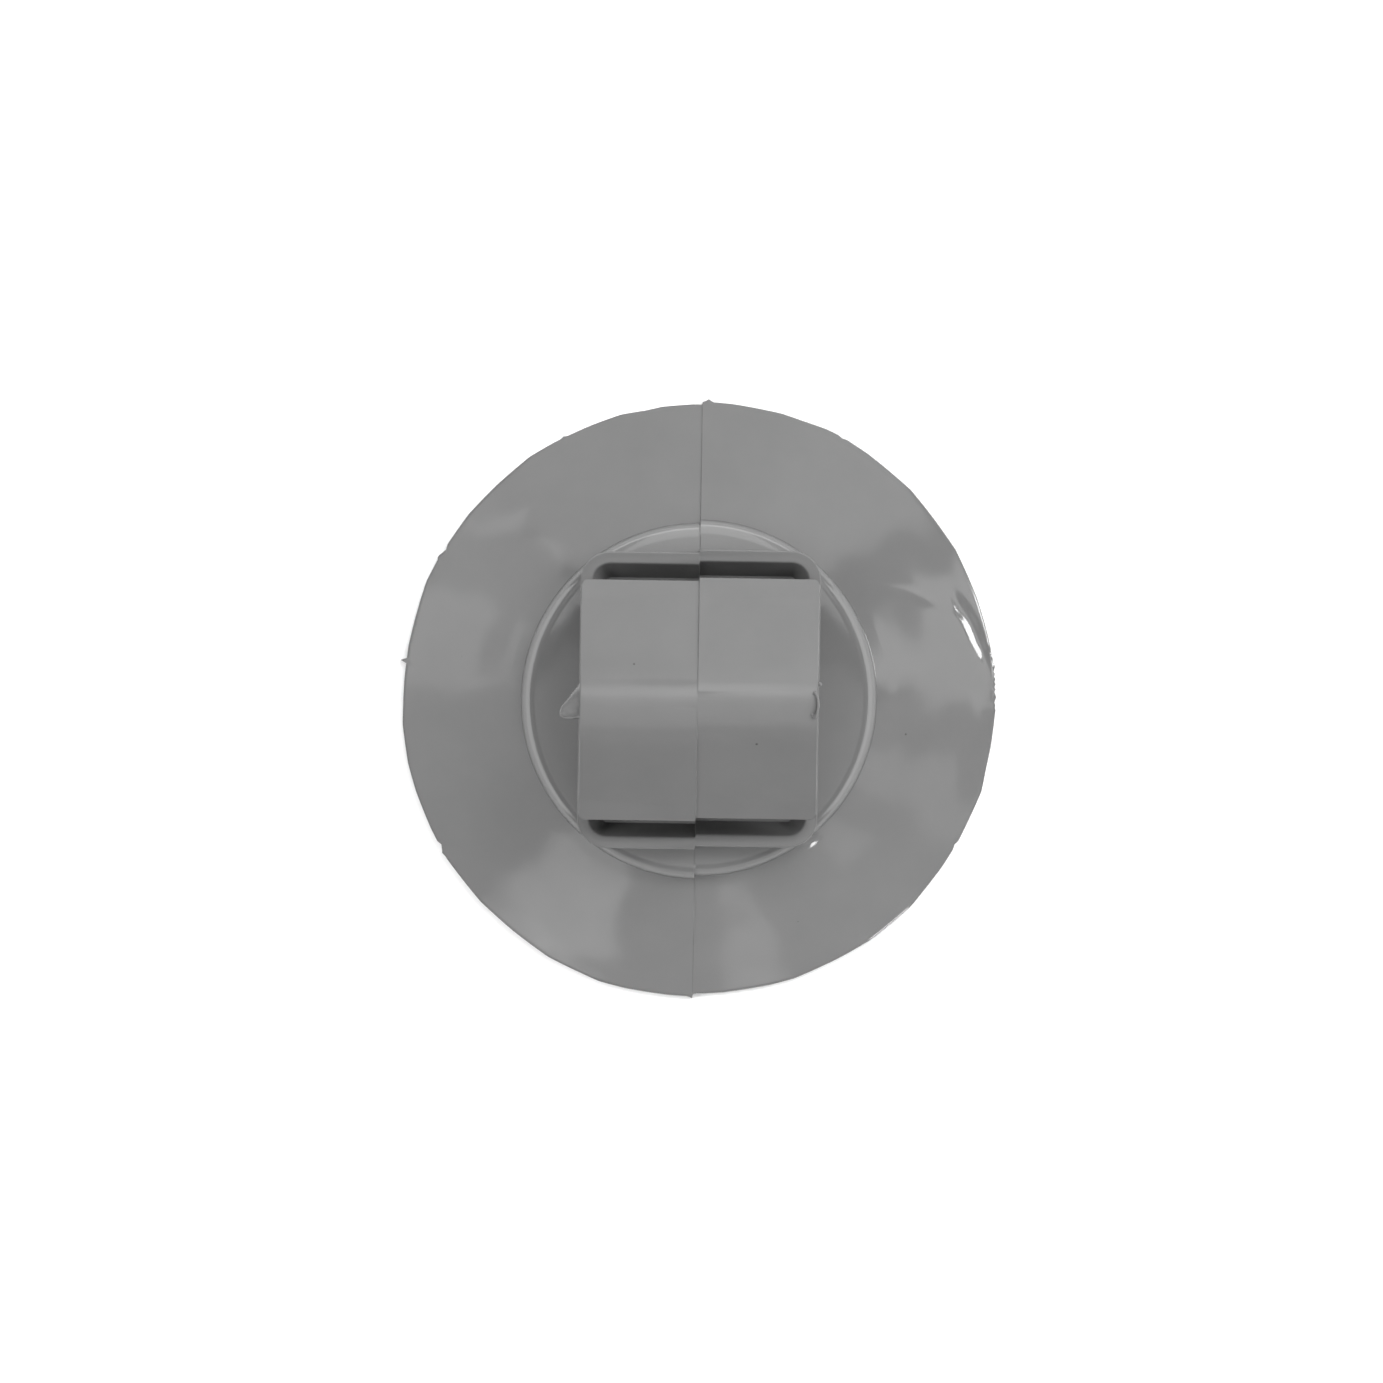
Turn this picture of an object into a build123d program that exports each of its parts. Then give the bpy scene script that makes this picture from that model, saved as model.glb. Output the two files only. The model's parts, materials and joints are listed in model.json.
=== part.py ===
from build123d import *
import os
from math import cos, hypot, radians, sin, sqrt, tan

# Suction foot with a push-in head, in millimetres.
# z = 0 is the plane that the cup seals against, and +Z points away from it, towards the head.
# The head's ridge runs along X. The real foot is one soft moulding: it is divided here where it bends.

# Cup
CUP_RADIUS = 20.0
LIP_WIDTH = 1.4
LIP_EDGE = 0.6
CONE_ANGLE = 24.0
SKIRT_WALL = 1.0

# Head: a stem, a round ridge on top of it, and a sloping wing on each side
HEAD_X = 16.05
HEAD_Y = 16.2
PANEL_GAP = 1.6
TIP_EDGE = 1.0
FLANK_ANGLE = 35.0
RIDGE_RADIUS = 5.5
WING_WALL = 1.8
HEAD_CORNER = 0.45
STEM_WALL = 3.2

# Collar, the thin rounded rectangular wall that stands on the hub round the stem.
# It is a little wider than the head along X, and leaves a slot beside the head along Y.
COLLAR_WALL = 0.8
COLLAR_CORNER = 2.0
COLLAR_HEIGHT = 1.8
COLLAR_EDGE = 0.2
COLLAR_SIDE = 0.075
SLOT_GAP = 1.1
POCKET_DEPTH = 0.8

# Hub, the stiff middle of the cup: a flat plate in a thick rim. The collar's corners just reach past it.
HUB_OVERHANG = 0.04
HUB_STEP = 1.7
HUB_PLATE = 1.5
HUB_WALL = 1.2
HUB_FILLET = 0.9

# Gate marks on the ridge's two ends
GATE_RADIUS = 0.85
GATE_RING_WALL = 0.3
GATE_RING_HEIGHT = 0.3
GATE_STUB_LENGTH = 1.2
GATE_STUB_TAPER = 20.0
GATE_LEFT_Y = -0.15
GATE_RIGHT_Y = -0.45

# Radial clearance where one piece bends against the next
FLEX_GAP = 0.05


# The collar goes round the head, and the hub carries the collar's corners
COLLAR_X = HEAD_X + 2 * COLLAR_SIDE
COLLAR_Y = HEAD_Y + 2 * (SLOT_GAP + COLLAR_WALL)
COLLAR_REACH = hypot(COLLAR_X / 2 - COLLAR_CORNER, COLLAR_Y / 2 - COLLAR_CORNER) + COLLAR_CORNER
HUB_RADIUS = COLLAR_REACH - HUB_OVERHANG
PLATE_RADIUS = HUB_RADIUS - HUB_WALL
SKIRT_RADIUS = HUB_RADIUS + FLEX_GAP
LIP_RADIUS = CUP_RADIUS - LIP_WIDTH


def cone_z(radius):
    """Height of the cup's outer surface at a radius."""
    return LIP_EDGE + (CUP_RADIUS - radius) * tan(radians(CONE_ANGLE))


# Heights, from the sealing plane up
HUB_BASE_Z = cone_z(HUB_RADIUS) - SKIRT_WALL
HUB_TOP_Z = cone_z(HUB_RADIUS) + HUB_STEP
HUB_UNDER_Z = HUB_TOP_Z - HUB_PLATE
POCKET_Z = HUB_TOP_Z - POCKET_DEPTH
COLLAR_TOP_Z = HUB_TOP_Z + COLLAR_HEIGHT
SHOULDER_Z = COLLAR_TOP_Z + PANEL_GAP

# The head's section, in Y and Z: the flank runs down from the ridge's arc to the tip
FLANK = radians(FLANK_ANGLE)
TIP_Y = HEAD_Y / 2
TIP_TOP_Z = SHOULDER_Z + TIP_EDGE
RIDGE_Z = TIP_TOP_Z + (TIP_Y - RIDGE_RADIUS * sin(FLANK)) * tan(FLANK) - RIDGE_RADIUS * cos(FLANK)
RIDGE_INNER = RIDGE_RADIUS - WING_WALL
ROOT_RADIUS = WING_WALL / 2
ROOT_Y = (RIDGE_RADIUS - ROOT_RADIUS) * sin(FLANK)
ROOT_Z = RIDGE_Z + (RIDGE_RADIUS - ROOT_RADIUS) * cos(FLANK)
GATE_Z = RIDGE_Z + RIDGE_RADIUS - ROOT_RADIUS


def make_sealing_lip():
    with BuildPart() as sealing_lip:
        with BuildSketch(Plane.XZ):
            with BuildLine():
                Polyline(
                    (LIP_RADIUS, 0),
                    (CUP_RADIUS, 0),
                    (CUP_RADIUS, LIP_EDGE),
                    (LIP_RADIUS, cone_z(LIP_RADIUS)),
                    close=True,
                )
            make_face()
        revolve(axis=Axis.Z)
    return sealing_lip.part


def make_cup_skirt():
    with BuildPart() as cup_skirt:
        with BuildSketch(Plane.XZ):
            with BuildLine():
                Polyline(
                    (LIP_RADIUS, cone_z(LIP_RADIUS) - SKIRT_WALL),
                    (LIP_RADIUS, cone_z(LIP_RADIUS)),
                    (SKIRT_RADIUS, cone_z(SKIRT_RADIUS)),
                    (SKIRT_RADIUS, cone_z(SKIRT_RADIUS) - SKIRT_WALL),
                    close=True,
                )
            make_face()
        revolve(axis=Axis.Z)
    return cup_skirt.part


def make_hub_plate():
    with BuildPart() as hub_plate:
        with BuildSketch(Plane.XY.offset(HUB_UNDER_Z)):
            Circle(PLATE_RADIUS)
        extrude(amount=HUB_PLATE)
        # The seat that the collar and the stem stand in
        with BuildSketch(Plane.XY.offset(POCKET_Z)):
            RectangleRounded(COLLAR_X, COLLAR_Y, COLLAR_CORNER)
        extrude(amount=POCKET_DEPTH, mode=Mode.SUBTRACT)
    return hub_plate.part


def make_hub_rim():
    with BuildPart() as hub_rim:
        with BuildSketch(Plane.XY.offset(HUB_BASE_Z)):
            Circle(HUB_RADIUS)
            Circle(PLATE_RADIUS, mode=Mode.SUBTRACT)
        extrude(amount=HUB_TOP_Z - HUB_BASE_Z)
        fillet(hub_rim.edges().group_by(Axis.Z)[-1].sort_by(SortBy.LENGTH)[-1], HUB_FILLET)
        # The collar's seat runs out through the rim at its four corners
        with BuildSketch(Plane.XY.offset(POCKET_Z)):
            RectangleRounded(COLLAR_X, COLLAR_Y, COLLAR_CORNER)
        extrude(amount=POCKET_DEPTH, mode=Mode.SUBTRACT)
    return hub_rim.part


def make_collar():
    with BuildPart() as collar:
        with BuildSketch(Plane.XY.offset(POCKET_Z)):
            RectangleRounded(COLLAR_X, COLLAR_Y, COLLAR_CORNER)
            offset(amount=-COLLAR_WALL, mode=Mode.SUBTRACT)
        extrude(amount=COLLAR_TOP_Z - POCKET_Z)
        fillet(collar.edges().group_by(Axis.Z)[-1], COLLAR_EDGE)
    return collar.part


def make_stem_web():
    # The stem spans the collar, from one side wall to the other
    length = COLLAR_X - 2 * COLLAR_WALL
    half = STEM_WALL / 2
    top_z = RIDGE_Z + sqrt(RIDGE_INNER**2 - half**2)
    with BuildPart() as stem_web:
        with BuildSketch(Plane.YZ):
            with BuildLine():
                Polyline((half, top_z), (half, POCKET_Z), (-half, POCKET_Z), (-half, top_z))
                ThreePointArc((-half, top_z), (0, RIDGE_Z + RIDGE_INNER), (half, top_z))
            make_face()
        extrude(amount=length / 2, both=True)
    return stem_web.part


def make_head_ridge():
    outer = (RIDGE_RADIUS * sin(FLANK), RIDGE_Z + RIDGE_RADIUS * cos(FLANK))
    inner = (RIDGE_INNER * sin(FLANK), RIDGE_Z + RIDGE_INNER * cos(FLANK))
    with BuildPart() as head_ridge:
        with BuildSketch(Plane.YZ):
            with BuildLine():
                ThreePointArc((-outer[0], outer[1]), (0, RIDGE_Z + RIDGE_RADIUS), outer)
                Line(outer, inner)
                ThreePointArc(inner, (0, RIDGE_Z + RIDGE_INNER), (-inner[0], inner[1]))
                Line((-inner[0], inner[1]), (-outer[0], outer[1]))
            make_face()
            # Each end is a round socket that the root of a wing turns in
            with Locations((ROOT_Y, ROOT_Z), (-ROOT_Y, ROOT_Z)):
                Circle(ROOT_RADIUS + FLEX_GAP, mode=Mode.SUBTRACT)
        extrude(amount=HEAD_X / 2, both=True)
    return head_ridge.part


def make_wing(side):
    """The sloping wing on the side of Y that side gives, +1 or -1."""
    top_y = ROOT_Y + ROOT_RADIUS * sin(FLANK)
    top_z = ROOT_Z + ROOT_RADIUS * cos(FLANK)
    under_y = ROOT_Y - ROOT_RADIUS * sin(FLANK)
    under_z = ROOT_Z - ROOT_RADIUS * cos(FLANK)
    catch_y = under_y + (under_z - SHOULDER_Z) / tan(FLANK)
    with BuildPart() as wing:
        with BuildSketch(Plane.YZ):
            with Locations((side * ROOT_Y, ROOT_Z)):
                Circle(ROOT_RADIUS)
            with BuildLine():
                Polyline(
                    (side * top_y, top_z),
                    (side * TIP_Y, TIP_TOP_Z),
                    (side * TIP_Y, SHOULDER_Z),
                    (side * catch_y, SHOULDER_Z),
                    (side * under_y, under_z),
                    close=True,
                )
            make_face()
        extrude(amount=HEAD_X / 2, both=True)
        fillet(wing.edges().filter_by(Axis.Z), HEAD_CORNER)
    return wing.part


def make_gate_stub_left():
    end = Plane(origin=(-HEAD_X / 2, GATE_LEFT_Y, GATE_Z), z_dir=(-1, 0, 0))
    with BuildPart() as gate_stub_left:
        with BuildSketch(end):
            Circle(GATE_RADIUS)
        extrude(amount=GATE_STUB_LENGTH, taper=GATE_STUB_TAPER)
    return gate_stub_left.part


def make_gate_ring_right():
    end = Plane(origin=(HEAD_X / 2, GATE_RIGHT_Y, GATE_Z), z_dir=(1, 0, 0))
    with BuildPart() as gate_ring_right:
        with BuildSketch(end):
            Circle(GATE_RADIUS)
            Circle(GATE_RADIUS - GATE_RING_WALL, mode=Mode.SUBTRACT)
        extrude(amount=GATE_RING_HEIGHT)
    return gate_ring_right.part


def main():
    pieces = {
        "sealing_lip": make_sealing_lip(),
        "cup_skirt": make_cup_skirt(),
        "hub_plate": make_hub_plate(),
        "hub_rim": make_hub_rim(),
        "collar": make_collar(),
        "stem_web": make_stem_web(),
        "head_ridge": make_head_ridge(),
        "upper_wing": make_wing(1),
        "lower_wing": make_wing(-1),
        "gate_stub_left": make_gate_stub_left(),
        "gate_ring_right": make_gate_ring_right(),
    }
    os.makedirs("parts", exist_ok=True)
    for name, piece in pieces.items():
        piece.label = name
        export_step(piece, f"parts/{name}.step")


main()
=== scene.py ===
"""Suction foot with a push-in head: a small grey soft moulding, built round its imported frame."""

import json
import math
import random

import bmesh
import bpy
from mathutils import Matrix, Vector


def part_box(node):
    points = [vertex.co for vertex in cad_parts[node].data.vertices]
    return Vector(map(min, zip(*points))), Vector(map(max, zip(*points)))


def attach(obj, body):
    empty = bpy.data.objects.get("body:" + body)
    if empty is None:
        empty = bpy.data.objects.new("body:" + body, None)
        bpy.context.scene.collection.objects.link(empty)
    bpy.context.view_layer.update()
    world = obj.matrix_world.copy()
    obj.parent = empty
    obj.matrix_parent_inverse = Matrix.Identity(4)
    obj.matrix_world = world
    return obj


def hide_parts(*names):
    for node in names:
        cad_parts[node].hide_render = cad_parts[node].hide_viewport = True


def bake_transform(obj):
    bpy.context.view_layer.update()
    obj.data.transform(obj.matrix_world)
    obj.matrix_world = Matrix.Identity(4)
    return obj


bl_info = {
    "name": "Suction Foot",
    "version": (1, 0, 0),
    "blender": (4, 5, 0),
    "location": "View3D > Sidebar > Suction Foot",
    "description": "Makes a soft suction foot with a push-in head, and a studio stage for it",
    "category": "Add Mesh",
}

MM = 0.001
HUB_BODY = "hub_and_stem"

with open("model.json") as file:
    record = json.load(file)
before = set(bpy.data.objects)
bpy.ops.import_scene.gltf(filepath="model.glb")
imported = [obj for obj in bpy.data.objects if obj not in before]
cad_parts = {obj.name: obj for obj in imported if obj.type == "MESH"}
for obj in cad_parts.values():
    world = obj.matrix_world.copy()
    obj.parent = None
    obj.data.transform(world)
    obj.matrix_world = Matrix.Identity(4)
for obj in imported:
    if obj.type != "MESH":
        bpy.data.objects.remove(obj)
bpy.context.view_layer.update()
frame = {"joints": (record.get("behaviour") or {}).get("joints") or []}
JOINTS = {joint["name"]: joint for joint in frame["joints"]}


def high(node):
    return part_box(node)[1]


def low(node):
    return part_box(node)[0]


# Places that the frame gives
CUP_RADIUS = high("sealing_lip").x
LIP_RADIUS = high("cup_skirt").x
HUB_RADIUS = high("hub_rim").x
PLATE_RADIUS = high("hub_plate").x
HUB_BASE = low("hub_rim").z
HUB_TOP = high("hub_rim").z
HUB_UNDER = low("hub_plate").z
CONE_TOP = high("cup_skirt").z
POCKET_FLOOR = low("collar").z
HEAD_HALF = high("head_ridge").x
RIDGE_TOP = high("head_ridge").z
TIP_Y = high("upper_wing").y
SHOULDER = low("upper_wing").z
ROOT = Vector(JOINTS["upper_wing_flex"]["pos_m"])
# The mould is polished below this height, and satin above it
SATIN_HEIGHT = HUB_TOP + 0.2 * MM
# The parting line is this much shallower on the hub, the collar and the head than on the cup
FAINT_LINE = 0.3
# Degrees by which the hub's top falls outwards near its edge
HUB_FALL = 6


# --- Sizes and colours that a user would change ---


class CupSizes(bpy.types.PropertyGroup):
    """The sloping wall of the cup and its sealing lip."""

    wall: bpy.props.FloatProperty(
        name="Wall", description="Thickness of the cup's wall, along Z",
        default=1.0 * MM, unit="LENGTH", precision=5,
    )
    lip_edge: bpy.props.FloatProperty(
        name="Lip edge", description="Thickness of the lip at its outer edge",
        default=0.6 * MM, unit="LENGTH", precision=5,
    )
    sag: bpy.props.FloatProperty(
        name="Sag", description="How far the cup's outer face hollows below a straight cone",
        default=0.14 * MM, unit="LENGTH", precision=5,
    )
    sway: bpy.props.FloatProperty(
        name="Sway", description="Height of the slow waves in the cup's outer face",
        default=0.035 * MM, unit="LENGTH", precision=5,
    )
    segments: bpy.props.IntProperty(
        name="Segments", description="Points round the cup", default=720, min=32,
    )


class HubSizes(bpy.types.PropertyGroup):
    """The raised hub, and the collar that stands on it."""

    fillet: bpy.props.FloatProperty(
        name="Fillet", description="Radius of the hub's upper edge",
        default=1.15 * MM, unit="LENGTH", precision=5,
    )
    collar_wall: bpy.props.FloatProperty(
        name="Collar wall", description="Thickness of the collar",
        default=0.8 * MM, unit="LENGTH", precision=5,
    )
    collar_corner: bpy.props.FloatProperty(
        name="Collar corner", description="Outer corner radius of the collar",
        default=2.0 * MM, unit="LENGTH", precision=5,
    )
    collar_draft: bpy.props.FloatProperty(
        name="Collar draft", description="How much thicker the collar is at its foot",
        default=1.15 * MM, unit="LENGTH", precision=5,
    )
    collar_edge: bpy.props.FloatProperty(
        name="Collar edge", description="Rounding of the collar's rim",
        default=0.12 * MM, unit="LENGTH", precision=5,
    )


class HeadSizes(bpy.types.PropertyGroup):
    """The head: a round ridge between two sloping wings."""

    slope: bpy.props.FloatProperty(
        name="Slope", description="Angle of the wings below level",
        default=math.radians(35), subtype="ANGLE",
    )
    wall: bpy.props.FloatProperty(
        name="Wing wall", description="Thickness of a wing, square to its slope",
        default=1.8 * MM, unit="LENGTH", precision=5,
    )
    tip: bpy.props.FloatProperty(
        name="Tip", description="Height of a wing's upright edge",
        default=1.0 * MM, unit="LENGTH", precision=5,
    )
    corner: bpy.props.FloatProperty(
        name="Corner", description="Radius of the head's four upright corners",
        default=0.45 * MM, unit="LENGTH", precision=5,
    )
    edge: bpy.props.FloatProperty(
        name="Edge", description="Rounding of the head's other edges",
        default=0.12 * MM, unit="LENGTH", precision=5,
    )


class MouldMarks(bpy.types.PropertyGroup):
    """What the mould leaves on the moulding."""

    plane: bpy.props.FloatProperty(
        name="Parting plane", description="Where the two mould halves meet, along X",
        default=-0.1 * MM, unit="LENGTH", precision=5,
    )
    mismatch: bpy.props.FloatProperty(
        name="Mismatch", description="How far one mould half is off the other, along Y",
        default=0.22 * MM, unit="LENGTH", precision=5,
    )
    line_width: bpy.props.FloatProperty(
        name="Line width", description="Width of the parting line",
        default=0.08 * MM, unit="LENGTH", precision=5,
    )
    line_depth: bpy.props.FloatProperty(
        name="Line depth", description="Depth of the parting line",
        default=0.03 * MM, unit="LENGTH", precision=5,
    )
    flash: bpy.props.FloatProperty(
        name="Flash", description="How far the cup's trimmed edge wanders from round",
        default=0.1 * MM, unit="LENGTH", precision=5,
    )


class PlasticLook(bpy.types.PropertyGroup):
    """The plastic's colour and gloss."""

    colour: bpy.props.FloatVectorProperty(
        name="Colour", description="Colour of the plastic", subtype="COLOR",
        default=(0.119, 0.119, 0.119), min=0, max=1,
    )
    roughness: bpy.props.FloatProperty(
        name="Roughness", description="Mean roughness of the polished cup", default=0.11, min=0, max=1,
    )
    satin: bpy.props.FloatProperty(
        name="Satin", description="How much rougher the head and the collar are",
        default=0.13, min=0, max=1,
    )
    clouding: bpy.props.FloatProperty(
        name="Clouding", description="How much the colour clouds over, as a share of it", default=0.08,
    )


class StageLook(bpy.types.PropertyGroup):
    """The floor, lights and camera."""

    floor_colour: bpy.props.FloatVectorProperty(
        name="Floor", description="Colour of the floor", subtype="COLOR",
        default=(0.96, 0.96, 0.96), min=0, max=1,
    )
    view_width: bpy.props.FloatProperty(
        name="View width", description="Width that the camera sees in the plane of the lip",
        default=93.37 * MM, unit="LENGTH", precision=5,
    )
    distance: bpy.props.FloatProperty(
        name="Distance", description="Height of the camera", default=4.0, unit="LENGTH",
    )
    roll: bpy.props.FloatProperty(
        name="Roll", description="Turn of the camera about its own axis",
        default=math.radians(0.9), subtype="ANGLE",
    )


class FootSettings(bpy.types.PropertyGroup):
    """All the foot's settings."""

    cup: bpy.props.PointerProperty(name="Cup", description="Sizes of the cup", type=CupSizes)
    hub: bpy.props.PointerProperty(name="Hub", description="Sizes of the hub and collar", type=HubSizes)
    head: bpy.props.PointerProperty(name="Head", description="Sizes of the head", type=HeadSizes)
    mould: bpy.props.PointerProperty(name="Mould", description="Mould marks", type=MouldMarks)
    plastic: bpy.props.PointerProperty(name="Plastic", description="Plastic", type=PlasticLook)
    stage: bpy.props.PointerProperty(name="Stage", description="Stage", type=StageLook)


def settings():
    return bpy.context.scene.suction_foot


# --- Modelling by hand, in edit mode ---


def deselect():
    if bpy.context.mode != "OBJECT":
        bpy.ops.object.mode_set(mode="OBJECT")
    bpy.ops.object.select_all(action="DESELECT")


def into_edit():
    bpy.ops.object.mode_set(mode="EDIT")
    bpy.ops.mesh.select_all(action="SELECT")


def select_points(test):
    """Selects the points of the mesh in edit mode whose place passes a test."""
    bpy.ops.mesh.select_mode(type="VERT")
    bpy.ops.mesh.select_all(action="DESELECT")
    mesh = bmesh.from_edit_mesh(bpy.context.edit_object.data)
    for point in mesh.verts:
        point.select_set(test(point.co))
    mesh.select_flush(True)
    bmesh.update_edit_mesh(bpy.context.edit_object.data)


def select_edges(test):
    """Selects the edges of the mesh in edit mode whose two ends pass a test together."""
    bpy.ops.mesh.select_mode(type="EDGE")
    bpy.ops.mesh.select_all(action="DESELECT")
    mesh = bmesh.from_edit_mesh(bpy.context.edit_object.data)
    for edge in mesh.edges:
        edge.select_set(test(edge.verts[0].co, edge.verts[1].co))
    bmesh.update_edit_mesh(bpy.context.edit_object.data)


def near(a, b, slack=0.001 * MM):
    return abs(a - b) < slack


def finish_piece(piece, name, crease=30):
    """Applies the piece's place, turns its faces outwards, smooths its curves and names it."""
    if bpy.context.mode != "EDIT_MESH":
        bpy.ops.object.mode_set(mode="EDIT")
    bpy.ops.mesh.select_all(action="SELECT")
    bpy.ops.mesh.remove_doubles(threshold=0.0005 * MM)
    bpy.ops.mesh.normals_make_consistent(inside=False)
    deselect()
    piece.select_set(True)
    bpy.context.view_layer.objects.active = piece
    bpy.ops.object.transform_apply(location=True, rotation=True, scale=True)
    bpy.ops.object.shade_smooth_by_angle(angle=math.radians(crease))
    piece.name = name
    piece.data.name = name
    piece.data.materials.clear()
    piece.data.materials.append(plastic())
    return piece


def walk_rings(section, segments):
    """One circle, extruded and resized along a section of (radius, height) points."""
    radius, height = section[0]
    deselect()
    bpy.ops.mesh.primitive_circle_add(vertices=segments, radius=radius, location=(0, 0, height))
    piece = bpy.context.object
    bpy.ops.object.transform_apply(location=True, rotation=True, scale=True)
    into_edit()
    for new_radius, new_height in section[1:]:
        bpy.ops.mesh.extrude_region_move(TRANSFORM_OT_translate={"value": (0, 0, new_height - height)})
        share = new_radius / radius
        bpy.ops.transform.resize(value=(share, share, 1), center_override=(0, 0, 0))
        radius, height = new_radius, new_height
    return piece


def walk_edge(outline, half_length):
    """A strip of face along X, extruded edge by edge along an outline of (y, z) points."""
    (y0, z0), (y1, z1) = outline[:2]
    deselect()
    bpy.ops.mesh.primitive_plane_add(size=1, location=(0, 0, 0))
    piece = bpy.context.object
    into_edit()
    bpy.ops.transform.resize(value=(2 * half_length, y1 - y0, 1), center_override=(0, 0, 0))
    bpy.ops.transform.translate(value=(0, (y0 + y1) / 2, z0))
    select_edges(lambda a, b: near(a.y, y1) and near(b.y, y1))
    if not near(z0, z1):
        bpy.ops.transform.translate(value=(0, 0, z1 - z0))
    last = (y1, z1)
    for y, z in outline[2:]:
        bpy.ops.mesh.extrude_region_move(
            TRANSFORM_OT_translate={"value": (0, y - last[0], z - last[1])}
        )
        last = (y, z)
    bpy.ops.mesh.select_all(action="SELECT")
    bpy.ops.mesh.remove_doubles(threshold=0.001 * MM)
    for end in (-half_length, half_length):
        select_edges(lambda a, b, end=end: near(a.x, end) and near(b.x, end))
        bpy.ops.mesh.edge_face_add()
    return piece


def rounded_block(half_x, half_y, corner, bottom, top):
    """A block with four round upright corners, in edit mode."""
    deselect()
    bpy.ops.mesh.primitive_plane_add(size=1, location=(0, 0, 0))
    piece = bpy.context.object
    into_edit()
    bpy.ops.transform.resize(value=(2 * half_x, 2 * half_y, 1), center_override=(0, 0, 0))
    bpy.ops.transform.translate(value=(0, 0, bottom))
    bpy.ops.mesh.bevel(offset=corner, segments=10, affect="VERTICES")
    bpy.ops.mesh.select_all(action="SELECT")
    bpy.ops.mesh.extrude_region_move(TRANSFORM_OT_translate={"value": (0, 0, top - bottom)})
    return piece


def part_the_mould(piece, depth=1.0):
    """Cuts the piece at the parting plane, shifts its halves along Y and sinks a fine line between.

    The line's depth is given as a share of the full depth.
    """
    marks = settings().mould
    reach = marks.line_width / 2
    bpy.context.view_layer.objects.active = piece
    if bpy.context.mode != "EDIT_MESH":
        bpy.ops.object.mode_set(mode="EDIT")
    for x in (marks.plane - reach, marks.plane, marks.plane + reach):
        bpy.ops.mesh.select_all(action="SELECT")
        bpy.ops.mesh.bisect(plane_co=(x, 0, 0), plane_no=(1, 0, 0), threshold=0.0001 * MM)
    select_points(lambda place: place.x < marks.plane - reach / 2)
    bpy.ops.transform.translate(value=(0, -marks.mismatch / 2, 0))
    select_points(lambda place: place.x > marks.plane + reach / 2)
    bpy.ops.transform.translate(value=(0, marks.mismatch / 2, 0))
    bpy.ops.mesh.select_all(action="SELECT")
    bpy.ops.mesh.normals_make_consistent(inside=False)
    select_points(lambda place: near(place.x, marks.plane, reach / 2))
    bpy.ops.transform.shrink_fatten(value=-marks.line_depth * depth)


def arc(centre, radius, start, end, steps):
    """Points on an arc, between two angles in degrees from level."""
    angles = [math.radians(start + (end - start) * i / steps) for i in range(steps + 1)]
    return [(centre[0] + radius * math.cos(a), centre[1] + radius * math.sin(a)) for a in angles]


def between(start, end, steps):
    """Points along a straight line, without its start."""
    return [
        (start[0] + (end[0] - start[0]) * i / steps, start[1] + (end[1] - start[1]) * i / steps)
        for i in range(1, steps + 1)
    ]


# --- Cup ---


def cone_height(radius):
    """Height of the cup's outer face, which hollows a little below a straight cone."""
    cup = settings().cup
    share = (CUP_RADIUS - radius) / (CUP_RADIUS - HUB_RADIUS)
    return cup.lip_edge + share * (CONE_TOP - cup.lip_edge) - 4 * cup.sag * share * (1 - share)


def cup_section():
    """(radius, height) points round the cup's wall, from inside the hub and back."""
    cup = settings().cup
    edge = 0.1 * MM
    # The wall starts inside the hub, and its rings lie closer near the hub and at the lip
    inside = HUB_RADIUS - 0.4 * MM
    close = HUB_RADIUS + 0.8 * MM
    fine = LIP_RADIUS - 0.4 * MM
    radii = [inside]
    for start, end, steps in ((inside, close, 12), (close, fine, 14), (fine, CUP_RADIUS - edge, 14)):
        radii += [radius for radius, _ in between((start, 0), (end, 0), steps)]
    outer = [(radius, cone_height(radius)) for radius in radii]
    rim = arc((CUP_RADIUS - edge, cup.lip_edge - edge), edge, 60, 0, 2)
    rim += arc((CUP_RADIUS - edge / 2, edge / 2), edge / 2, 0, -90, 2)
    inner = [(LIP_RADIUS, 0)]
    inner += [
        (radius, cone_height(radius) - cup.wall)
        for radius, _ in between((LIP_RADIUS - 0.1 * MM, 0), (HUB_RADIUS, 0), 10)
    ]
    inner += [(inside, HUB_BASE + 0.1 * MM), outer[0]]
    return outer + rim + inner


def knife_facets():
    """(angle, radius offset) corners of the nearly straight cuts that trim the cup's edge."""
    chance = random.Random(7)
    flash = settings().mould.flash
    corners = []
    angle = 0.0
    while angle < 2 * math.pi:
        # A cut starts a little inside or outside the round edge, and runs for 3 to 11 degrees
        corners.append((angle, chance.uniform(-0.6, 1.0) * flash))
        angle += math.radians(chance.uniform(3.0, 11.0))
    corners.append((2 * math.pi, corners[0][1]))
    return corners


def edge_offset(angle, corners):
    """How far the trimmed edge stands out of round at an angle."""
    angle %= 2 * math.pi
    for (a0, r0), (a1, r1) in zip(corners, corners[1:]):
        if a0 <= angle <= a1:
            share = (angle - a0) / (a1 - a0)
            dip = (a1 - a0) ** 2 / 2 * CUP_RADIUS * share * (1 - share)
            return r0 + (r1 - r0) * share - 0.6 * dip
    return 0.0


# Whiskers, ticks and nicks left at the edge: angle and half width in degrees, and height in mm
EDGE_MARKS = (
    (89, 0.8, 0.2), (173, 0.45, 0.42), (269.5, 0.7, 0.12), (150, 1.1, -0.12), (151.8, 0.6, 0.12),
    (210, 0.9, -0.14), (211.6, 0.6, 0.1), (118, 0.7, 0.1), (62, 1.0, -0.08), (331, 0.9, -0.09),
)
# Where a run of saw teeth starts and ends, in degrees, and how tall a tooth is
SAW = (-2.0, 11.0)
TOOTH = 0.13

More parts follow.
